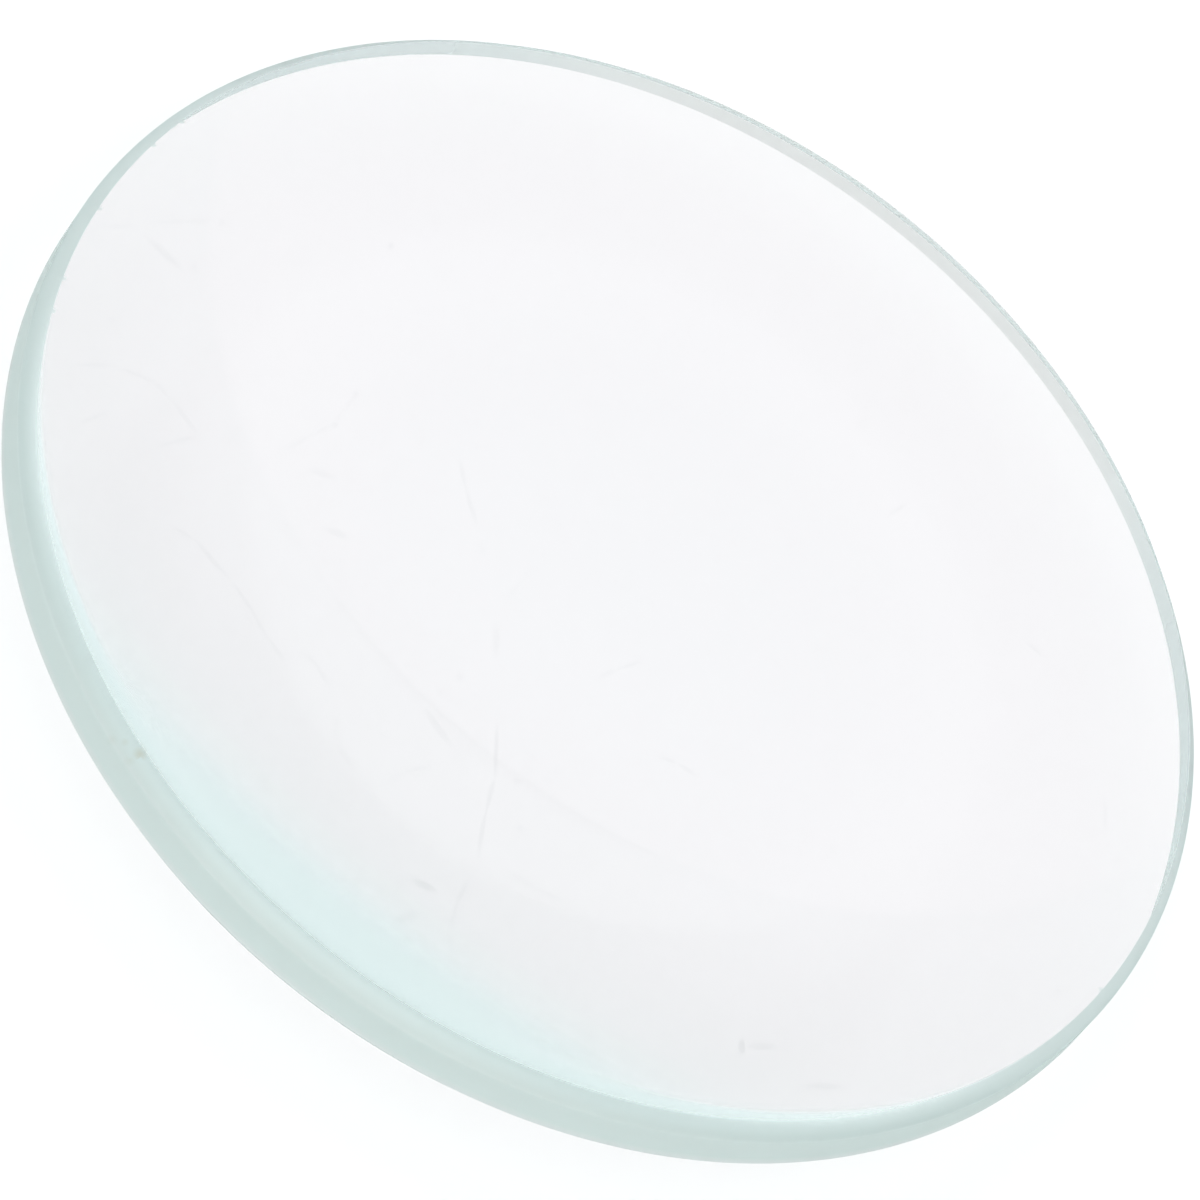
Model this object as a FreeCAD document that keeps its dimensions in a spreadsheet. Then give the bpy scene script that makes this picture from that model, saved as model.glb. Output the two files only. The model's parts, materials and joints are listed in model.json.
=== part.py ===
import FreeCAD, Part
import Sketcher
import os

# Biconvex lens, in millimetres.
#
# One piece of clear glass: two polished spherical faces on one axis, a cylindrical
# edge left fine-ground, and a narrow protective bevel where each face meets the edge.
# It is made in the order of the real one: a round blank, then one spherical face and
# the other ground into it, then the bevels.
#
# Frame: +Z runs along the optical axis, from the back face to the front face, and the
# lens lies on its back face. The origin is the centre of the ground edge, on the axis,
# where a cell or ring mount holds the lens.

DIMENSIONS = (
    ("lens_diameter", "50.0", "outside diameter over the ground edge"),
    ("front_radius", "102.5", "radius of curvature of the front face, the upper one"),
    ("back_radius", "102.5", "radius of curvature of the back face, the lower one"),
    ("ground_band", "1.6", "width of the ground cylinder left between the bevels"),
    ("bevel_width", "0.55", "width that each bevel takes off the face and off the edge"),
)

# Each face's own radius, and the way that it looks along the axis
FACES = (
    ("Front", "Dimensions.front_radius", "1"),
    ("Back", "Dimensions.back_radius", "-1"),
)

# Formulas: half the diameter, the edge's height before it is bevelled, and how far the
# rim of a face lies from its centre of curvature, measured along the axis
HALF_WIDTH = "Dimensions.lens_diameter / 2"
EDGE_HEIGHT = "(Dimensions.ground_band + 2 * Dimensions.bevel_width)"
RIM_DEPTH = "sqrt({radius} ^ 2 - (Dimensions.lens_diameter / 2) ^ 2)"

# How each ball is turned: X to Y, Y to Z and Z to X, and then its poles out of the level
ROUND_THE_AXES = FreeCAD.Rotation(FreeCAD.Vector(1, 1, 1), 120)
POLE_LEAN = FreeCAD.Rotation(FreeCAD.Vector(0, 1, 0), -40)

doc = FreeCAD.newDocument("BiconvexLens")
sheet = doc.addObject("Spreadsheet::Sheet", "Dimensions")
for row, (alias, number, meaning) in enumerate(DIMENSIONS, start=1):
    sheet.set(f"A{row}", number)
    sheet.setAlias(f"A{row}", alias)
    sheet.set(f"B{row}", meaning)
doc.recompute()


def add_blank(body):
    """The round slug that the faces are ground into, tall enough for any two faces."""
    sketch = body.newObject("Sketcher::SketchObject", "BlankOutline")
    level_plane = next(
        plane for plane in body.Origin.OriginFeatures if plane.Role == "XY_Plane"
    )
    sketch.AttachmentSupport = (level_plane, "")
    sketch.MapMode = "FlatFace"

    half_width = sheet.lens_diameter / 2
    axis = FreeCAD.Vector(0, 0, 1)
    rim = sketch.addGeometry(Part.Circle(FreeCAD.Vector(0, 0, 0), axis, half_width))
    # a circle's centre is its point 3, and the sketch's own origin is point 1 of line -1
    sketch.addConstraint(Sketcher.Constraint("Coincident", rim, 3, -1, 1))
    size = sketch.addConstraint(Sketcher.Constraint("Radius", rim, half_width))
    sketch.setExpression(f"Constraints[{size}]", HALF_WIDTH)

    blank = body.newObject("PartDesign::Pad", "Blank")
    blank.Profile = sketch
    blank.Midplane = True
    blank.setExpression("Length", f"{EDGE_HEIGHT} + Dimensions.lens_diameter")


def make_ball(name, radius, way):
    """The whole sphere that a face is a patch of, with its centre on the axis.

    It passes through the rim on its own side of the edge. It is turned so that its
    poles and its seam lie off the lens, which leaves the polished face one clean patch
    with no pole in the middle. With the poles leaned as well, the patch is divided more
    finely, and the lens lies level on it.
    """
    ball = doc.addObject("PartDesign::Body", f"{name}Ball")
    sphere = ball.newObject("PartDesign::AdditiveSphere", f"{name}Sphere")
    sphere.setExpression("Radius", radius)
    ball.Tip = sphere
    ball.Placement = FreeCAD.Placement(FreeCAD.Vector(0, 0, 0), POLE_LEAN * ROUND_THE_AXES)
    rim_depth = RIM_DEPTH.format(radius=radius)
    ball.setExpression("Placement.Base.z", f"{way} * ({EDGE_HEIGHT} / 2 - {rim_depth})")
    return ball


def grind_face(body, name, radius, way):
    """Keep only the glass inside a face's sphere."""
    face = body.newObject("PartDesign::Boolean", f"{name}Face")
    face.Type = "Common"
    face.setObjects([make_ball(name, radius, way)])
    body.Tip = face
    doc.recompute()


def rim_edges(shape):
    """Names of the two rings where the faces meet the edge, the only edges that close."""
    return [
        f"Edge{number}"
        for number, edge in enumerate(shape.Edges, start=1)
        if edge.isClosed()
    ]


def make_lens():
    """The lens: a blank with both faces ground into it, and its rims bevelled."""
    body = doc.addObject("PartDesign::Body", "LensBody")
    body.Label = "lens"
    body.Placement = FreeCAD.Placement()
    add_blank(body)
    for name, radius, way in FACES:
        grind_face(body, name, radius, way)

    ground = body.Tip
    bevels = body.newObject("PartDesign::Chamfer", "ProtectiveBevels")
    bevels.Base = (ground, rim_edges(ground.Shape))
    bevels.setExpression("Size", "Dimensions.bevel_width")
    body.Tip = bevels
    doc.recompute()
    return body


lens = make_lens()

for item in doc.Objects:
    if "Invalid" in item.State or "Error" in item.State:
        raise RuntimeError(f"{item.Label} did not compute: {item.State}")
if lens.Shape.isNull() or not lens.Shape.isValid():
    raise RuntimeError(f"{lens.Label} has no valid shape")

os.makedirs("parts", exist_ok=True)
lens.Shape.exportStep(f"parts/{lens.Label}.step")

box = lens.Shape.optimalBoundingBox()
print(f"{lens.Label}: {len(lens.Shape.Solids)} solid, {len(lens.Shape.Faces)} faces")
print(f"across {box.XLength:.3f} x {box.YLength:.3f}, from z {box.ZMin:.5f} to {box.ZMax:.5f}")
print(f"volume {lens.Shape.Volume:.2f} mm3")
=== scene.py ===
# %% [markdown]
# A biconvex lens, finished in glass.
# The lens is one piece of clear crown glass, about 50 mm across: two polished
# faces that bulge like shallow domes, and a narrow edge that was left matt.
# Glass has hardly any colour of its own, so nearly everything that the eye sees
# is bent light. The way to a good likeness is then a true shape, true optics and
# calm light, and not paint.

# %% Load the measured lens
import json
import math

import bpy
import numpy as np
from mathutils import Matrix, Vector


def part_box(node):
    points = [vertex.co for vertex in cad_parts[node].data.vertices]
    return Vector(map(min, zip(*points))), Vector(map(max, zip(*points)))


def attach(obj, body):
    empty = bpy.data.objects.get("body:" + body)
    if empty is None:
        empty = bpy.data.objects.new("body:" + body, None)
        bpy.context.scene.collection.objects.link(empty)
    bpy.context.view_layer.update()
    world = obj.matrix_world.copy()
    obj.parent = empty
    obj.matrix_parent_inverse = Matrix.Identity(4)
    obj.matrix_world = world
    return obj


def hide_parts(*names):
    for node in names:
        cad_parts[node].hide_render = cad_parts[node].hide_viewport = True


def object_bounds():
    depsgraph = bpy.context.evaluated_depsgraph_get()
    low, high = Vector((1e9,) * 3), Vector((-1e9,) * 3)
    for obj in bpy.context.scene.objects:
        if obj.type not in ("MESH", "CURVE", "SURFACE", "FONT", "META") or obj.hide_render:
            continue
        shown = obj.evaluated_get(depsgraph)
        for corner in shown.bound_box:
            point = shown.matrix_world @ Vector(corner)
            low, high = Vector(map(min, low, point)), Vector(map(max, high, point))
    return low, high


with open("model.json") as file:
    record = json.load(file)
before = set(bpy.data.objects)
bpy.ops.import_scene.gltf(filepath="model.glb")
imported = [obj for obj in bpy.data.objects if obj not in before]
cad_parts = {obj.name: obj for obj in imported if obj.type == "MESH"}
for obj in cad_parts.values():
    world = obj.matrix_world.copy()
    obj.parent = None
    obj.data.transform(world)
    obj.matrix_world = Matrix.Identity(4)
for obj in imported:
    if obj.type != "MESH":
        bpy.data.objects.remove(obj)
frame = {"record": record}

cad_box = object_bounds()
print("the measured lens lies in the box", cad_box)

# %% [markdown]
# The sizes of the glass.
# The measured lens gives its radius, its full thickness and the width of the
# matt band round its edge. The radius is held to the measured box, so that no
# point leaves it. Each polished face is part of a sphere, and a sphere's
# radius follows from how far the dome rises over its own rim: the rim's radius
# squared plus the rise squared, divided by twice the rise.

# %% Sizes in metres
MM = 0.001
BEVEL = 0.55 * MM

low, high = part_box("lens")
edge = next(m["dims"] for m in frame["record"]["mounts"] if m["name"] == "ground_edge")
RIM = min(edge["r_mm"] * MM, *cad_box[1].xy, *-cad_box[0].xy)
HALF_BAND = edge["length_mm"] * MM / 2
HALF_THICK = min(high.z, -low.z)
RISE = HALF_THICK - HALF_BAND - BEVEL
DOME = (RIM**2 + RISE**2) / (2 * RISE)
print(f"lens {2 * RIM / MM:.1f} mm across and {2 * HALF_THICK / MM:.2f} mm thick")
print(f"faces of {DOME / MM:.1f} mm radius")

# %% [markdown]
# The camera.
# A long lens from a third of a metre keeps the near and the far rim almost the
# same size, as in a catalogue picture. The camera looks down at 47 degrees and is
# turned about its own line of sight, so that the near side of the rim comes to
# the lower left. It is aimed a little beside the middle of the glass, which
# frames the lens without shifting the picture in the camera. The directions of
# the picture are kept as vectors, because the nicks and the marks are placed
# with them later.

# %% Camera place and picture directions
PICTURE = 1200  # pixels across and down
FOCAL_PIXELS = 9000  # focal length in pixels of the picture
DISTANCE = 13.89 * RIM
TILT = math.radians(42.72)  # between the line of sight and the axis of the lens
NEAR_DIRECTION = math.radians(128.78)  # of the near side in the picture, turned from right to down
MIDDLE = Vector((611.4, 584.2))  # where the picture shows the middle of the lens

away = Vector((0, -math.sin(TILT), math.cos(TILT)))
near = Vector((0, -math.cos(TILT), -math.sin(TILT)))
left = Vector((-1, 0, 0))
right = near * math.cos(NEAR_DIRECTION) - left * math.sin(NEAR_DIRECTION)
down = near * math.sin(NEAR_DIRECTION) + left * math.cos(NEAR_DIRECTION)
eye = away * DISTANCE

offset = (MIDDLE - Vector((PICTURE / 2, PICTURE / 2))) / FOCAL_PIXELS
ahead = (-away - right * offset.x - down * offset.y).normalized()
right = (right - ahead * right.dot(ahead)).normalized()
down = ahead.cross(right)
print(f"camera {DISTANCE / MM:.0f} mm from the middle of the lens")

# %% Make the camera
SENSOR_MM = 36

camera_data = bpy.data.cameras.new("camera")
camera_data.sensor_width = SENSOR_MM
camera_data.lens = FOCAL_PIXELS / PICTURE * SENSOR_MM
camera_data.clip_start = DISTANCE / 100
camera_data.clip_end = DISTANCE * 100
camera = bpy.data.objects.new("camera", camera_data)
camera.matrix_world = Matrix.Translation(eye) @ Matrix((right, -down, -ahead)).transposed().to_4x4()
bpy.context.scene.collection.objects.link(camera)
bpy.context.scene.camera = camera
print(f"focal length {camera_data.lens:.0f} mm on a sensor {SENSOR_MM} mm wide")

# %% [markdown]
# The shape of the glass.
# A lens like this is ground on a turning spindle, so it is a surface of
# revolution: one outline, carried round the axis. The outline runs from the top
# of the front dome out to the rim, down the front bevel, down the matt band, and
# back under the lens in the same way. Each ring of points is one place on that
# outline. Light bends at every face, so all of it is one closed skin.
# A sphere added from the menu would have as many points on its smallest ring as
# on its largest. Here their number halves each time that the distance from the
# middle has halved, so that they stay about as far apart.

# %% Height of a dome
def dome_height(reach):
    """Height of a dome at a distance from the axis: the root of its sphere's radius squared less
    the distance squared, less what the sphere's centre lies below the middle of the lens."""
    return np.sqrt(DOME**2 - np.square(reach)) - (DOME - HALF_THICK)


print(f"a dome rises {(HALF_THICK - dome_height(RIM)) / MM:.2f} mm from its rim to its middle")

# %% [markdown]
# The two domes.
# A dome's rings reach out to a margin, beyond which the rim has rings of its own.
# The front dome has four times as many rings as the back one, because the fine
# marks of use are kept on its faces, and small faces hold them better.

# %% Rings of the domes
RIM_POINTS = 1440
HALVINGS = 5
MARGIN = 23.5 * MM
FRONT_RINGS = 28
BACK_RINGS = 7


def circle(points):
    """Angles of evenly spaced points round the axis: a full turn over their number, times 0, 1,
    2 and so on."""
    return np.arange(points) * (2 * math.pi / points)


def ring(reach, height, points):
    """Points round the axis at one distance and height: the distance times the cosine and the
    sine of each angle."""
    angle = circle(points)
    return np.column_stack([reach * np.cos(angle), reach * np.sin(angle), np.full(points, height)])


def dome_rings(rings_per_halving):
    """Rings of a front dome from near the axis outwards. The distance shrinks by a constant
    factor from ring to ring, and each time that it has halved, so has the number of points."""
    rings = []
    for halving in range(HALVINGS):
        steps = halving + np.arange(1, rings_per_halving + 1) / rings_per_halving
        points = RIM_POINTS // 2 ** (halving + 1)
        rings += [ring(reach, dome_height(reach), points) for reach in MARGIN * 2.0**-steps]
    return rings[::-1]


front_dome = dome_rings(FRONT_RINGS)
back_dome = dome_rings(BACK_RINGS)
print(f"{len(front_dome)} rings on the front dome and {len(back_dome)} on the back one")

# %% [markdown]
# The bevels.
# The sharp corner between a polished face and the band would chip at a touch, so
# a narrow bevel is ground off it by hand against a hollow tool. A hand is never
# quite even, so the width wanders by about a hundredth of a millimetre. A sum of
# slow waves round the rim gives that without a seam, as each wave closes on
# itself. Chance sets where the waves begin, from a fixed start, so that each run
# makes the same lens.

# %% Width of the bevels
WAVES_ROUND = np.array([2, 3, 5, 9, 14])
WANDER = 0.006 * MM
random = np.random.default_rng(7)


def bevel_width(angle):
    """Width of a bevel round the rim: its plain width and a sum of sine waves with chosen counts
    and chance phases, each lower by the root of its count."""
    phases = random.uniform(0, 2 * math.pi, WAVES_ROUND.size)
    waves = np.sin(np.outer(angle, WAVES_ROUND) + phases) / np.sqrt(WAVES_ROUND)
    return BEVEL + WANDER * waves.sum(axis=1)


rim_angles = circle(RIM_POINTS)
front_width = bevel_width(rim_angles)
back_width = bevel_width(rim_angles)
print(f"front bevel {front_width.min() / MM:.3f} to {front_width.max() / MM:.3f} mm wide")

# %% [markdown]
# The nicks.
# A few tiny chips have broken out of the front corner, each a dish-shaped hollow.
# They were read in the picture, and the first of them is repeated on the back
# corner. A line of sight through a place in the picture, followed down to the
# level of the corner, tells how far round the rim the nick lies.

# %% Nicks in the corners
NICK_PLACES = ((150, 145), (182, 126), (100, 212), (62, 280), (50, 312), (1099, 992))
NICK_HALF_WIDTH = 0.14 * MM
NICK_DEPTH = 0.035 * MM


def angle_at(place):
    """Angle round the axis of what is seen at a place in the picture, on the level of the rim's
    front corner: the line of sight is followed from the eye down to that level."""
    sight = ahead * FOCAL_PIXELS + right * (place[0] - PICTURE / 2) + down * (place[1] - PICTURE / 2)
    spot = eye + sight * ((HALF_BAND + BEVEL - eye.z) / sight.z)
    return math.atan2(spot.y, spot.x)


def nick_depth(beside, nick_angles):
    """Depth of the nicks at each distance beside the corner, all round the rim: the full depth
    times one less the squares of the two distances over a nick's half width, at least 0."""
    turn = (rim_angles[:, None] - np.array(nick_angles) + math.pi) % (2 * math.pi) - math.pi
    bowl = 1 - np.square(turn * RIM / NICK_HALF_WIDTH) - np.square(beside[:, :, None] / NICK_HALF_WIDTH)
    return NICK_DEPTH * np.clip(bowl, 0, None).max(axis=2)


front_nicks = [angle_at(place) for place in NICK_PLACES]
back_nicks = front_nicks[:1]
print("front nicks at", [round(math.degrees(angle)) for angle in front_nicks], "degrees round the rim")

# %% [markdown]
# The worn corner.
# On the near side the front corner is worn round from being set down, fully on the
# nearest quarter of the rim and not at all beyond the two sides. That share is a
# soft step in the sine of the angle round the rim, which is -1 at the point
# nearest to the camera. A soft step has no kink at its ends, so that no edge
# shows where the wear begins.

# %% Share of wear round the rim
NEAR_SIDE = (-0.2, -0.7)


def soft_step(value, start, full):
    """A soft step from 0 at the start to 1 where it is full, in either direction: three times the
    square less twice the cube of the share of the way, held flat on either side."""
    share = np.clip((value - start) / (full - start), 0, 1)
    return share**2 * (3 - 2 * share)


worn = soft_step(np.sin(rim_angles), *NEAR_SIDE)
print(f"the front corner is worn on {np.mean(worn > 0):.0%} of the rim, fully on {np.mean(worn == 1):.0%}")

# %% [markdown]
# The outline of the rim.
# The rim runs from the margin of the dome to the corner, down the bevel, and down
# the matt band to its middle. Its rings are crowded where the outline turns, as
# light shows there how smooth the turn is. All of them have the same number of
# points, so the whole rim is one grid: a row for each ring, a column for each angle.

# %% Outline of the rim
MARGIN_STEPS = 7
BEVEL_STEPS = 6
BAND_STEPS = 3


def crowd(steps):
    """Fractions from 0 to 1, crowded at both ends: half of one less the cosine."""
    return (1 - np.cos(np.linspace(0, math.pi, steps + 1)))[:, None] / 2


def rim_outline(width):
    """Distances from the axis and heights of the rim's rings. The corner with the dome lies in
    from the rim by the bevel's width times the cosine of the dome's slope, and the band begins
    lower than the full edge by the same width. The steps up to the corner shrink evenly."""
    corner_reach = RIM - width * math.cos(math.asin(RIM / DOME))
    corner_height = dome_height(corner_reach)
    band_top = HALF_BAND + BEVEL - width

    margin = 1 - np.square(np.linspace(1, 0, MARGIN_STEPS + 1))[:, None]
    margin_reach = MARGIN + (corner_reach - MARGIN) * margin
    bevel = crowd(BEVEL_STEPS)[1:]
    bevel_reach = corner_reach + (RIM - corner_reach) * bevel
    bevel_height = corner_height + (band_top - corner_height) * bevel
    band = crowd(2 * BAND_STEPS)[1 : BAND_STEPS + 1]
    band_height = band_top * (1 - 2 * band)

    reach = np.concatenate([margin_reach, bevel_reach, np.full(band_height.shape, RIM)])
    height = np.concatenate([dome_height(margin_reach), bevel_height, band_height])
    return reach, height


front_outline = rim_outline(front_width)
back_outline = rim_outline(back_width)
print("front rim of", front_outline[0].shape[0], "rings with", front_outline[0].shape[1], "points each")

# %% [markdown]
# Wear on the rim.
# Nicks and wear take glass off the corner, along the line that halves it. Beyond
# the corner all is ground glass, and before it all is polished. Where the corner
# is crisp, that changes in a line, and where it is worn, the matt look fades out
# over both sides. A nick is matt inside, because broken glass isn't smooth. How
# matt the skin is stays a number on each point, which the material reads later.

# %% Wear of the rim
CORNER_LEAN = math.radians(33)  # between the line that halves the corner and the axis
FADE_REACH = 0.60 * MM
WORN_REACH = 0.50 * MM
LEAST_REACH = 0.0035 * MM  # above 0, as distances are divided by the reach
WORN_TURN = 0.139  # at 0.164, half the sine of each side's turn, no trace of the corner would be left
MATT_NICK = 1 / 3  # share of the full depth from which a nick is wholly matt


def worn_rim(reach, height, nick_angles, worn):
    """Points of the rim's rings after wear, and how matt each is. The matt share steps from 0 to 1
    at the corner, and where the corner is worn, a soft step takes its place. A worn corner is
    lowered by its turn times its reach times the square of one less the distance over the reach,
    which levels out at the end of the reach, so that the round begins there without a crease."""
    beside = np.hypot(reach - reach[MARGIN_STEPS], height - height[MARGIN_STEPS])
    beyond = np.where(np.arange(len(reach))[:, None] < MARGIN_STEPS, -beside, beside)
    crisp = beyond >= 0
    ground = crisp + (soft_step(beyond, -FADE_REACH, FADE_REACH) - crisp) * worn

    nicks = nick_depth(beside, nick_angles)
    ground = np.maximum(ground, np.minimum(1, nicks / NICK_DEPTH / MATT_NICK))
    worn_reach = np.maximum(WORN_REACH * worn, LEAST_REACH)
    rounding = WORN_TURN * worn_reach * np.square(np.clip(1 - beside / worn_reach, 0, None))
    reach = reach - (nicks + rounding) * math.sin(CORNER_LEAN)
    height = height - (nicks + rounding) * math.cos(CORNER_LEAN)

    x, y = reach * np.cos(rim_angles), reach * np.sin(rim_angles)
    return np.stack([x, y, height], axis=2), ground


front_rim, front_ground = worn_rim(*front_outline, front_nicks, worn)
back_rim, back_ground = worn_rim(*back_outline, back_nicks, 0)
print(f"{np.mean(front_ground > 0):.0%} of the front rim's points are matt or partly matt")

# %% [markdown]
# One closed skin.
# The rings of both halves are put in one row, the lower half as a mirror image,
# and each ring is joined to the next. The two poles in the middle of the domes
# close the skin. Each face lists its points so that it looks outwards, because
# Blender tells from this which side of the skin is glass. Whole rings are joined
# at once, with arrays of point numbers.

# %% Join two rings
def stitch(upper, lower):
    """Faces between two rings of point numbers. Rings with as many points are joined by
    four-cornered faces, and a ring with half the points of its neighbour by three triangles
    over each of its own steps."""
    if len(upper) == len(lower):
        return [np.stack([upper, lower, np.roll(lower, -1), np.roll(upper, -1)], axis=1)]
    coarse, fine = sorted((upper, lower), key=len)
    start, middle = fine[0::2], fine[1::2]
    following, end = np.roll(coarse, -1), np.roll(start, -1)
    triangles = [
        np.stack([coarse, start, middle], axis=1),
        np.stack([coarse, middle, following], axis=1),
        np.stack([following, middle, end], axis=1),
    ]
    return triangles if coarse is upper else [triangle[:, ::-1] for triangle in triangles]


def fan(pole, around, upside_down):
    """Triangles from a pole to the ring around it: the pole, a point and its neighbour, the last
    two the other way round at the lower pole."""
    pair = (np.roll(around, -1), around) if upside_down else (around, np.roll(around, -1))
    return np.stack([np.full(len(around), pole), *pair], axis=1)


print("two rings of 3 points are joined by the faces", stitch(np.arange(3), np.arange(3, 6))[0].tolist())

# %% Points and faces of the whole skin
MIRROR = np.array([1, 1, -1])

front_rings = front_dome + list(front_rim)
back_rings = back_dome + list(back_rim[:-1])
rings = front_rings + [around * MIRROR for around in back_rings[::-1]]
poles = np.array([[0, 0, HALF_THICK], [0, 0, -HALF_THICK]])
points = np.concatenate(rings + [poles])

starts = np.cumsum([0] + [len(around) for around in rings])
numbers = [np.arange(start, stop) for start, stop in zip(starts[:-1], starts[1:])]
patches = [patch for pair in zip(numbers[:-1], numbers[1:]) for patch in stitch(*pair)]
patches += [fan(starts[-1], numbers[0], False), fan(starts[-1] + 1, numbers[-1], True)]
faces = [face for patch in patches for face in patch.tolist()]

polished_front = np.zeros(sum(map(len, front_dome)))
polished_back = np.zeros(sum(map(len, back_dome)) + len(poles))
ground = [polished_front, front_ground.ravel(), back_ground[-2::-1].ravel(), polished_back]
ground = np.concatenate(ground)
print(f"{len(points)} points, {len(faces)} faces")

# %% [markdown]
# The matt skin's tone, with painted light and shade.
# Ground glass is white because its roughness scatters light, and how white depends
# on the grit, on wear and on what has been rubbed into it. Light and shade are
# painted into this tone as well: a painted highlight along the lower corner on the
# near side, a painted sheen on the worn corner above it, painted shade at the two
# sides and low on the far side, and a warmer painted tint higher on the far side.
# Each tone is mixed in by a soft step in the height, in the sine of the angle round
# the rim or in the distance from the corner, and kept on the points.

# %% Tones of the matt skin, with painted light and shade
MATT = np.array([0.720, 0.755, 0.750])
# painted highlight along the lower corner on the near side, lighter and pinker than the matt tone
PAINTED_HIGHLIGHT = np.array([0.85, 0.80, 0.81])
# painted sheen on the worn front corner on the near side, whiter than the matt tone
PAINTED_SHEEN = np.array([0.93, 0.94, 0.94])
# painted shade at the two sides, darker than the matt tone
PAINTED_SIDE_SHADE = np.array([0.575, 0.61, 0.61])
# painted light: a warmer tint higher on the far side, where the band looks lit from behind
PAINTED_FAR_TINT = np.array([0.88, 0.735, 0.715])
# painted shade low on the far side, darker than the matt tone
PAINTED_FAR_SHADE = np.array([0.65, 0.63, 0.62])
PAINTED_HIGHLIGHT_HEIGHT = 0.45 * MM
PAINTED_HIGHLIGHT_SIDE = (0.1, -0.3)
PAINTED_SHEEN_REACH = 0.7 * MM
FAR_SIDE = (0.70, 0.95)
FLANK_BEGINS = (0.20, 0.45)
FLANK_ENDS = (0.92, 0.75)

from_axis = np.hypot(points[:, 0], points[:, 1])
from_corner = np.hypot(from_axis - (RIM - BEVEL), points[:, 2] - (HALF_BAND + BEVEL))
sine = points[:, 1] / np.maximum(from_axis, MM)
lowness = soft_step(points[:, 2], PAINTED_HIGHLIGHT_HEIGHT - HALF_BAND, -HALF_BAND)
painted_side_shade_share = soft_step(sine, *FLANK_BEGINS) * soft_step(sine, *FLANK_ENDS)
far_side = soft_step(sine, *FAR_SIDE)
painted_highlight_share = soft_step(sine, *PAINTED_HIGHLIGHT_SIDE) * lowness
painted_sheen_share = soft_step(sine, *NEAR_SIDE) * soft_step(from_corner, PAINTED_SHEEN_REACH, 0)

tone = np.tile(MATT, (len(points), 1))
# the painted highlight, sheen, shades and tint are mixed into the matt tone, each by its share
for colour, share in (
    (PAINTED_SIDE_SHADE, painted_side_shade_share),
    (PAINTED_FAR_TINT, far_side * (1 - lowness)),
    (PAINTED_FAR_SHADE, far_side * lowness),
    (PAINTED_HIGHLIGHT, painted_highlight_share),
    (PAINTED_SHEEN, painted_sheen_share),
):
    tone += (colour - tone) * share[:, None]
print("tone of the matt skin from", tone.min(axis=0), "to", tone.max(axis=0))

# %% [markdown]
# The lens as an object.
# The points and faces go into a mesh, with the matt number and the tone on its
# points. Shading is smooth, so that light bends as on a true curve and not as on
# small flat faces. Only the four corners of the outline stay sharp, each all
# along its ring, apart from the worn stretch of the two front ones.

# %% Put the skin into a mesh
lens_mesh = bpy.data.meshes.new("lens")
lens_mesh.from_pydata(points, [], faces)
lens_mesh.shade_smooth()
lens_mesh.attributes.new("ground", "FLOAT", "POINT").data.foreach_set("value", ground)
tone_data = lens_mesh.attributes.new("tone", "FLOAT_COLOR", "POINT").data
tone_data.foreach_set("color", np.column_stack([tone, np.ones(len(tone))]).ravel())

glass = bpy.data.objects.new("lens_glass", lens_mesh)
bpy.context.scene.collection.objects.link(glass)
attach(glass, "root")
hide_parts("lens")
print(f"mesh {lens_mesh.name} with {len(lens_mesh.polygons)} faces, on the body root")

# %% Sharp corners
SMOOTH_FROM = 0.1  # share of wear from which a corner is no longer sharp

corners = (MARGIN_STEPS, MARGIN_STEPS + BEVEL_STEPS)
front_corners = [len(front_dome) + corner for corner in corners]
back_corners = [len(rings) - 1 - len(back_dome) - corner for corner in corners]
corner_of_point = np.full(len(points), -1)
for corner in front_corners + back_corners:
    corner_of_point[numbers[corner]] = corner
for corner in front_corners:
    corner_of_point[numbers[corner][worn > SMOOTH_FROM]] = -1

ends = np.empty(len(lens_mesh.edges) * 2, int)
lens_mesh.edges.foreach_get("vertices", ends)
first, second = corner_of_point[ends.reshape(-1, 2)].T
sharp = (first >= 0) & (first == second)
lens_mesh.attributes.new("sharp_edge", "BOOLEAN", "EDGE").data.foreach_set("value", sharp)
print(f"{sharp.sum()} sharp edges on {len(front_corners + back_corners)} corners")

# %% [markdown]
# The marks of use.
# The polish carries a few fine scratches, small smudges and specks, and the matt
# band has a brown spot. They were read in the picture, so their places are picture
# places here, across and down. The number behind each place is how strongly the
# mark shows, from 0 to 1.

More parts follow.
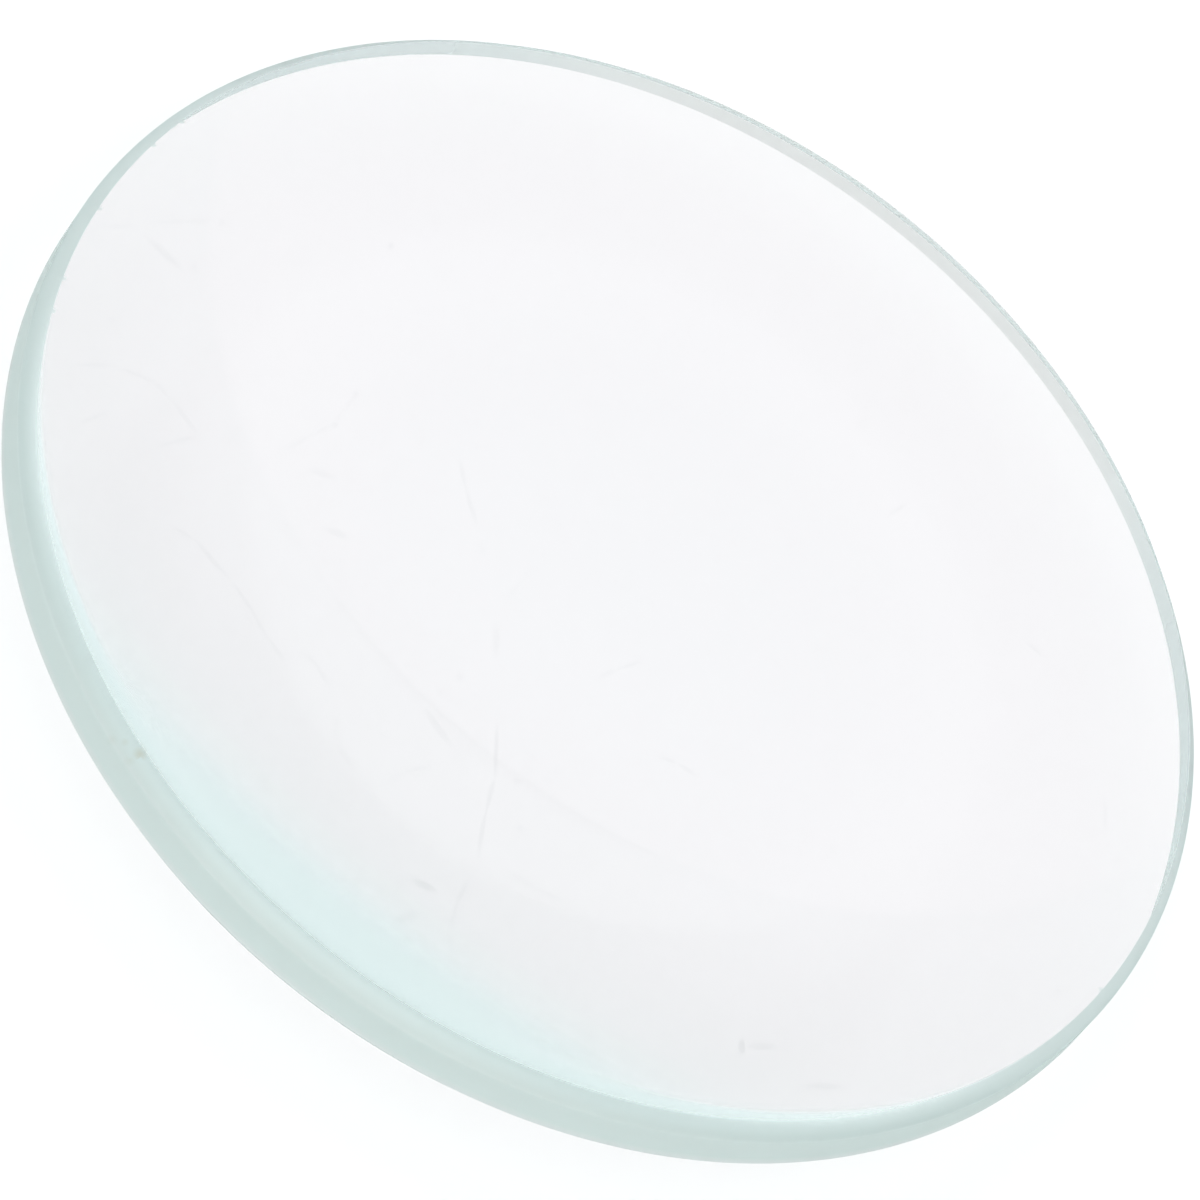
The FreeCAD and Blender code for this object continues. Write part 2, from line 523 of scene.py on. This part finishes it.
# %% Places of the marks in the picture
SCRATCHES = {
    "long slanting": (((172, 527), (195, 540), (230, 580), (257, 617), (265, 637), (285, 660)), 0.38),
    "after the slanting one": (((302, 652), (316, 664), (330, 687)), 0.35),
    "long upright": (((497, 725), (495, 777), (486, 810), (478, 855)), 0.60),
    "below the upright one": (((469, 877), (457, 905), (449, 930), (452, 960)), 0.45),
    "level, at the rim": (((100, 226), (132, 226)), 0.25),
    "level, further in": (((150, 222), (230, 221)), 0.20),
    "curved": (((75, 364), (115, 366), (155, 382), (172, 400), (200, 437)), 0.32),
    "below the curved one": (((155, 447), (200, 436)), 0.32),
    "short, at the rim": (((77, 425), (110, 410)), 0.32),
    "hooked": (((287, 450), (310, 435), (335, 425), (342, 412), (357, 394)), 0.20),
    "upright, middle": (((460, 460), (466, 490), (477, 525)), 0.37),
    "slanting, middle": (((535, 564), (520, 582), (507, 600)), 0.17),
    "right of the middle": (((600, 677), (620, 668), (640, 662)), 0.30),
    "left of the upright one": (((337, 712), (335, 740), (355, 770)), 0.32),
    "beside the upright one": (((387, 782), (405, 772), (430, 766)), 0.32),
    "long and level, low": (((505, 870), (535, 888), (565, 902)), 0.32),
    "low": (((660, 757), (678, 763), (695, 775)), 0.32),
    "right": (((1025, 640), (1042, 655)), 0.32),
    "right, small": (((890, 515), (905, 505)), 0.32),
    "right, at the rim": (((1105, 800), (1105, 830)), 0.32),
}
SMUDGES = {
    "upper left": (((150, 240), (180, 268)), 0.38),
    "left": (((312, 470), (332, 477)), 0.32),
    "below the left one": (((327, 529), (347, 537)), 0.35),
    "middle": (((496, 627), (496, 655)), 0.34),
    "beside the middle one": (((427, 712), (450, 745)), 0.47),
    "lower left": (((415, 881), (434, 890)), 1.00),
    "by the lower left one": (((397, 920), (415, 914)), 0.60),
    "bottom": (((805, 1086), (845, 1087)), 0.55),
    "bottom bar": (((750, 1046), (775, 1047)), 0.60),
    "blot": (((742, 1042), (742, 1051)), 1.00),
}
SPECKS = {
    "by the level scratch": ((222, 222), 0.40),
    "by the upper smudge": ((194, 267), 0.34),
    "left": ((111, 320), 0.43),
    "left, further in": ((256, 376), 0.39),
    "on the hooked scratch": ((335, 425), 0.40),
    "at its end": ((356, 394), 0.36),
    "upper left": ((330, 210), 0.18),
    "top": ((391, 246), 0.48),
    "below the curved scratch": ((232, 437), 0.25),
    "middle": ((482, 550), 0.29),
    "below the middle": ((460, 677), 0.38),
    "beside that": ((440, 692), 0.25),
    "by the upright scratch": ((517, 781), 0.38),
    "right of it": ((556, 772), 0.18),
    "below it": ((520, 828), 0.50),
    "lower right": ((833, 848), 0.26),
    "upper right": ((862, 425), 0.26),
    "right, at the rim": ((1118, 860), 0.28),
    "bottom right": ((1058, 992), 0.43),
    "smudged ring": ((187, 342), 0.30),
}
STAINS = {
    "spot": ((140, 754), 9.0, 1.0),
    "below the spot": ((130, 760), 7.0, 0.3),
    "beside it": ((125, 742), 5.0, 0.4),
    "further out": ((112, 740), 7.0, 0.25),
}
print(f"{len(SCRATCHES)} scratches, {len(SMUDGES)} smudges, {len(SPECKS)} specks, {len(STAINS)} stains")

# %% [markdown]
# Marks as strokes.
# Every mark is taken as one or more straight strokes: a scratch is a row of them,
# and a speck is a single short one. Each stroke is a row of seven numbers, and all
# strokes together are a table that numpy can work on at once.

# %% Strokes of the marks
MIDDLES = slice(0, 2)
DIRECTIONS = slice(2, 4)
HALF_LENGTH, HALF_WIDTH, STRENGTH = 4, 5, 6
LEVEL = (1, 0)
OVERLAP = 0.55  # a half would end each stroke where the next begins
SCRATCH_HALF_WIDTH = 3.2
SMUDGE_HALF_WIDTH = 5.0
SPECK_HALF_WIDTH = 4.5


def strokes(path, half_width, strength):
    """Straight stretches of a path: middle, direction, half length, half width and strength of
    each. The stretches reach a little past their ends, so that they join. A single place has
    no direction of its own, and is given the level one."""
    path = np.array(path if len(path) > 1 else path * 2, float)
    step = np.diff(path, axis=0)
    length = np.hypot(step[:, 0], step[:, 1])
    direction = np.where(length[:, None] > 0, step / np.maximum(length, 1)[:, None], LEVEL)
    half_length = length * OVERLAP + half_width
    widths = np.full(len(step), half_width)
    middle = (path[:-1] + path[1:]) / 2
    return np.column_stack([middle, direction, half_length, widths, np.full(len(step), strength)])


grey_marks = [strokes(path, SCRATCH_HALF_WIDTH, strength) for path, strength in SCRATCHES.values()]
grey_marks += [strokes(path, SMUDGE_HALF_WIDTH, strength) for path, strength in SMUDGES.values()]
grey_marks += [strokes((place,), SPECK_HALF_WIDTH, strength) for place, strength in SPECKS.values()]
brown_marks = [strokes((place,), size, strength) for place, size, strength in STAINS.values()]
print(f"{len(grey_marks)} grey marks and {len(brown_marks)} brown ones")

# %% [markdown]
# Marks on the faces.
# A scratch is a hairline, far finer than the faces of the skin, and so it can't be
# kept as a colour on the points. It is kept as numbers on the corners of the
# faces instead: how far along and how far beside its nearest mark each corner
# lies. Between corners these numbers change evenly, so the material can draw a
# line of any fineness from them. Faces that the camera can't see get a strength
# of 0, or each mark would show again on the underside.

# %% Where the faces lie in the picture
loops = len(lens_mesh.loops)
corner_points = np.empty(loops, int)
lens_mesh.loops.foreach_get("vertex_index", corner_points)
first_loops = np.empty(len(lens_mesh.polygons), int)
lens_mesh.polygons.foreach_get("loop_start", first_loops)
face_sizes = np.diff(np.append(first_loops, loops))
normals = np.empty(len(lens_mesh.polygons) * 3)
lens_mesh.polygons.foreach_get("normal", normals)


def picture_places(spots):
    """Where points are seen in the picture: how far each lies to the right and down, over how
    far it lies ahead of the eye, times the focal length, from the middle of the picture."""
    sights = spots - np.array(eye)
    shifts = np.column_stack([sights @ np.array(right), sights @ np.array(down)])
    return shifts / (sights @ np.array(ahead))[:, None] * FOCAL_PIXELS + PICTURE / 2


spots = points[corner_points]
places = picture_places(spots)
face_middles = np.add.reduceat(places, first_loops, axis=0) / face_sizes[:, None]
seen = ((np.array(eye) - spots[first_loops]) * normals.reshape(-1, 3)).sum(axis=1) > 0
print("the lens fills the picture from", places.min(axis=0).round(), "to", places.max(axis=0).round())

# %% Put the marks on the corners of the faces
def across(offset, direction):
    """How far an offset leads away from the line along a direction: the one's first part times
    the other's second, less the second times the first."""
    return offset[..., 0] * direction[..., 1] - offset[..., 1] * direction[..., 0]


def nearest_mark(marks):
    """For each face the mark nearest to its middle: the distance to a stretch is what is left of
    the distance along it beyond its half length, and the distance beside it, less its width."""
    offset = face_middles[:, None] - marks[None, :, MIDDLES]
    along = np.abs((offset * marks[:, DIRECTIONS]).sum(axis=2))
    beside = np.abs(across(offset, marks[:, DIRECTIONS]))
    beyond_end = np.clip(along - marks[:, HALF_LENGTH], 0, None)
    return (np.hypot(beyond_end, beside) - marks[:, HALF_WIDTH]).argmin(axis=1)


def put_marks(name, marks):
    """Keeps on every face corner how far along and beside the nearest mark it lies, in that
    mark's half length and half width, and the mark's strength, which is 0 on unseen faces."""
    marks = np.concatenate(marks)
    chosen = marks[np.repeat(nearest_mark(marks), face_sizes)]
    offset = places - chosen[:, MIDDLES]
    along = (offset * chosen[:, DIRECTIONS]).sum(axis=1) / chosen[:, HALF_LENGTH]
    beside = across(offset, chosen[:, DIRECTIONS]) / chosen[:, HALF_WIDTH]
    strength = chosen[:, STRENGTH] * np.repeat(seen, face_sizes)
    data = lens_mesh.attributes.new(name, "FLOAT_VECTOR", "CORNER").data
    data.foreach_set("vector", np.column_stack([along, beside, strength]).ravel())
    inside = (np.hypot(along, beside) < 1) & (strength > 0)
    print(f"{name}: {inside.sum()} of {loops} face corners lie in a mark")


put_marks("grey_mark", grey_marks)
put_marks("brown_mark", brown_marks)

# %% [markdown]
# The shape of a mark.
# Grey and brown marks fade out in the same way, so that is a node group, built
# once and placed twice. A round gradient over the two distances is 1 in the
# middle of a mark and 0 at its edge. Crispness makes it steeper, for a fuller
# middle and a narrower edge. The mask is that fade times the mark's strength.
# Adding a node in a script takes a line for the node, one for each option and one
# for each link, so a short helper does all of that. It works in a node group, in
# a material and in the sky alike.

# %% Shared effect: the shape of a mark
def add(tree, kind, inputs=(), **settings):
    """Adds a node, sets its options, and gives its inputs values or joins them to outputs."""
    node = tree.nodes.new(kind)
    for name, value in settings.items():
        setattr(node, name, value)
    for name, value in dict(inputs).items():
        if isinstance(value, bpy.types.NodeSocket):
            tree.links.new(value, node.inputs[name])
        else:
            node.inputs[name].default_value = value
    return node


def combined(tree, operation, first, second, **settings):
    """One value worked out from two: their product, the larger one or what the operation says."""
    return add(tree, "ShaderNodeMath", {0: first, 1: second}, operation=operation, **settings).outputs[0]


mark_shape = bpy.data.node_groups.new("mark shape", "ShaderNodeTree")
mark_shape.interface.new_socket("Place", in_out="INPUT", socket_type="NodeSocketVector")
mark_shape.interface.new_socket("Crispness", in_out="INPUT", socket_type="NodeSocketFloat")
mark_shape.interface.new_socket("Mask", in_out="OUTPUT", socket_type="NodeSocketFloat")

entry = add(mark_shape, "NodeGroupInput")
parts = add(mark_shape, "ShaderNodeSeparateXYZ", {0: entry.outputs["Place"]})
flat = add(mark_shape, "ShaderNodeCombineXYZ", {"X": parts.outputs["X"], "Y": parts.outputs["Y"]})
fade = add(mark_shape, "ShaderNodeTexGradient", {"Vector": flat.outputs[0]}, gradient_type="SPHERICAL")
full = combined(mark_shape, "MULTIPLY", fade.outputs["Fac"], entry.outputs["Crispness"], use_clamp=True)
mask = combined(mark_shape, "MULTIPLY", full, parts.outputs["Z"])
add(mark_shape, "NodeGroupOutput", {"Mask": mask})
print("group", mark_shape.name, "of", len(mark_shape.nodes), "nodes")

# %% [markdown]
# The glass.
# A long way through crown glass looks faintly green, from a trace of iron in the
# sand, and a short way does not, which is why the rim is green and the middle is
# clear. So the green is in the volume and not painted on. The base colour of a
# clear surface tints the light each time that it passes, so a slightly grey one
# stands for what polish and dust take away.
# Towards the near rim the polish has a thin haze, as glass gets that has
# been wiped and put down often, which makes it a little rough there. Its colour is
# also greyer there, which is painted shade: the face is darker towards the near rim.
# The marks dull it a little more. The haze and the painted shade grow with the
# distance from a place on the far half of the lens, so that they lie along the near
# rim like a crescent, which no distance from the middle would give.

# %% Colour of the polished and the matt skin
POLISH = (0.944, 0.916, 0.928, 1)
# painted shade: a greyer polish towards the near rim, which darkens the face there
PAINTED_NEAR_SHADE = (0.891, 0.862, 0.873, 1)
HAZE_AND_SHADE_CENTRE = 0.5 * RIM
HAZE_AND_SHADE_START = 0.78 * RIM
HAZE_AND_SHADE_FULL = 1.42 * RIM

material = bpy.data.materials.new("lens_glass")
material.use_nodes = True
tree = material.node_tree
tree.nodes.clear()


def attribute(name, output):
    """An output of a node that reads an attribute of the mesh."""
    return add(tree, "ShaderNodeAttribute", attribute_name=name).outputs[output]


def mixed(factor, first, second, blend="MIX"):
    """Two colours mixed by a factor: the first where it is 0, and where it is 1 the second, or
    what their blend says."""
    inputs = {"Factor": factor, "A": first, "B": second}
    return add(tree, "ShaderNodeMix", inputs, data_type="RGBA", blend_type=blend).outputs[2]


place = add(tree, "ShaderNodeTexCoord").outputs["Object"]
from_centre = add(
    tree,
    "ShaderNodeVectorMath",
    {0: place, 1: (0, HAZE_AND_SHADE_CENTRE, 0)},
    operation="DISTANCE",
).outputs["Value"]
haze_and_painted_shade = add(
    tree,
    "ShaderNodeMapRange",
    {"Value": from_centre, "From Min": HAZE_AND_SHADE_START, "From Max": HAZE_AND_SHADE_FULL},
    interpolation_type="SMOOTHSTEP",
).outputs[0]
ground_mask = attribute("ground", "Fac")
skin = mixed(ground_mask, mixed(haze_and_painted_shade, POLISH, PAINTED_NEAR_SHADE), attribute("tone", "Color"))
print(f"haze from {HAZE_AND_SHADE_START / MM:.0f} to {HAZE_AND_SHADE_FULL / MM:.0f} mm off a place on the far half")

# %% Marks on the glass
GREY_MARK = (0.86, 0.865, 0.87, 1)
BROWN_MARK = (0.80, 0.70, 0.58, 1)
GREY_CRISPNESS = 1.8
BROWN_CRISPNESS = 1.0


def mark_mask(name, crispness):
    """Where the marks kept under a name are to be seen."""
    inputs = {"Place": attribute(name, "Vector"), "Crispness": crispness}
    return add(tree, "ShaderNodeGroup", inputs, node_tree=mark_shape).outputs["Mask"]


skin = mixed(mark_mask("grey_mark", GREY_CRISPNESS), skin, GREY_MARK, "MULTIPLY")
skin = mixed(mark_mask("brown_mark", BROWN_CRISPNESS), skin, BROWN_MARK, "MULTIPLY")
print("a full mark leaves the skin", GREY_MARK[:3], "or", BROWN_MARK[:3], "of its brightness")

# %% [markdown]
# Surface and volume.
# Crown glass bends light by an index of 1.51 to 1.52. A value near the lower end is
# taken, because the pale streak inside the near rim is narrow in the picture, and
# a lower index makes it narrower. One Principled shader serves for the polished
# and the matt skin, as only its colour and roughness change. It lets all light
# through, and the volume behind it takes a little red away along each path.

# %% Surface and volume of the glass
GLASS_INDEX = 1.512
GROUND_ROUGHNESS = 0.6
HAZE_ROUGHNESS = 0.10
IRON_GREEN = (0.25, 0.80, 0.76, 1)
IRON_DENSITY = 5.8

rough = combined(
    tree,
    "MAXIMUM",
    combined(tree, "MULTIPLY", ground_mask, GROUND_ROUGHNESS),
    combined(tree, "MULTIPLY", haze_and_painted_shade, HAZE_ROUGHNESS),
)
surface = add(
    tree,
    "ShaderNodeBsdfPrincipled",
    {"Base Color": skin, "Roughness": rough, "IOR": GLASS_INDEX, "Transmission Weight": 1.0},
)
volume = add(tree, "ShaderNodeVolumeAbsorption", {"Color": IRON_GREEN, "Density": IRON_DENSITY})
add(tree, "ShaderNodeOutputMaterial", {"Surface": surface.outputs[0], "Volume": volume.outputs[0]})
lens_mesh.materials.append(material)
red_left = math.exp(-IRON_DENSITY * (1 - IRON_GREEN[0]) * 2 * RIM)
print(f"of red light {red_left:.0%} is left after the way across the whole lens")

# %% [markdown]
# The floor.
# The lens lies on a white sweep, far larger than the picture. It is quite matt, so
# that nothing is mirrored in it, and it lies a hair below the lens, so that the
# two surfaces don't cut into each other.

# %% Floor
FLOOR_REACH = 3.0
FLOOR_GAP = 0.005 * MM
FLOOR_WHITE = (0.90, 0.90, 0.90, 1)

floor_corners = np.array([(-1, -1, 0), (1, -1, 0), (1, 1, 0), (-1, 1, 0)]) * FLOOR_REACH
floor_corners[:, 2] = cad_box[0].z - FLOOR_GAP
floor_mesh = bpy.data.meshes.new("floor")
floor_mesh.from_pydata(floor_corners, [], [(0, 1, 2, 3)])
floor = bpy.data.objects.new("floor", floor_mesh)
bpy.context.scene.collection.objects.link(floor)

floor_material = bpy.data.materials.new("pale_floor")
floor_material.use_nodes = True
paint = floor_material.node_tree.nodes["Principled BSDF"]
paint.inputs["Base Color"].default_value = FLOOR_WHITE
paint.inputs["Roughness"].default_value = 1.0
paint.inputs["Specular IOR Level"].default_value = 0.0
floor_mesh.materials.append(floor_material)
print(f"floor {2 * FLOOR_REACH:.0f} m wide, {-floor_corners[0, 2] / MM:.3f} mm below the band's middle")

# %% [markdown]
# The light.
# The picture has no shadow and no highlight, as in a light tent: white cloth on
# every side, lit from outside. Here the whole sky is that cloth, a trace brighter
# at the walls than at the ceiling. A lamp would be mirrored in the lower face as
# a pale crescent, and the picture has none, so there is none here.

# %% Light tent
WALL = 1.27
CEILING = 1.25
LOW_DIRECTION = 0.1  # where the walls begin to turn into the ceiling, straight up being 1
HIGH_DIRECTION = 0.9  # where that turn ends
WHITE = (1, 1, 1, 1)

world = bpy.data.worlds.new("light_tent")
bpy.context.scene.world = world
world.use_nodes = True
sky = world.node_tree
direction = add(sky, "ShaderNodeTexCoord").outputs["Generated"]
height = add(sky, "ShaderNodeSeparateXYZ", {0: direction}).outputs["Z"]
levels = {
    "Value": height,
    "From Min": LOW_DIRECTION,
    "From Max": HIGH_DIRECTION,
    "To Min": WALL,
    "To Max": CEILING,
}
level = add(sky, "ShaderNodeMapRange", levels, interpolation_type="SMOOTHSTEP").outputs[0]
cloth = sky.nodes["Background"]
sky.links.new(level, cloth.inputs["Strength"])
cloth.inputs["Color"].default_value = WHITE
print("cloth as bright as", WALL, "at the walls and", CEILING, "at the ceiling")

# %% [markdown]
# How light is followed.
# Light crosses the glass many times near the rim before it comes out, so it is
# followed for many turns. Rough glass isn't blurred to save time, because the
# floor would lose the light that comes to it through the lens. No rays are aimed
# at the sky, as they would be at a sky with a bright sun in it: this one is even
# all round, so aimed rays only cost time. The plain view transform shows white
# cloth as white.

# %% Light paths and tones
scene = bpy.context.scene
scene.view_settings.view_transform = "Standard"
scene.cycles.max_bounces = 20
scene.cycles.transmission_bounces = 20
scene.cycles.glossy_bounces = 12
scene.cycles.diffuse_bounces = 3
scene.cycles.blur_glossy = 0
world.cycles.sampling_method = "NONE"
print("light is followed for up to", scene.cycles.max_bounces, "turns")
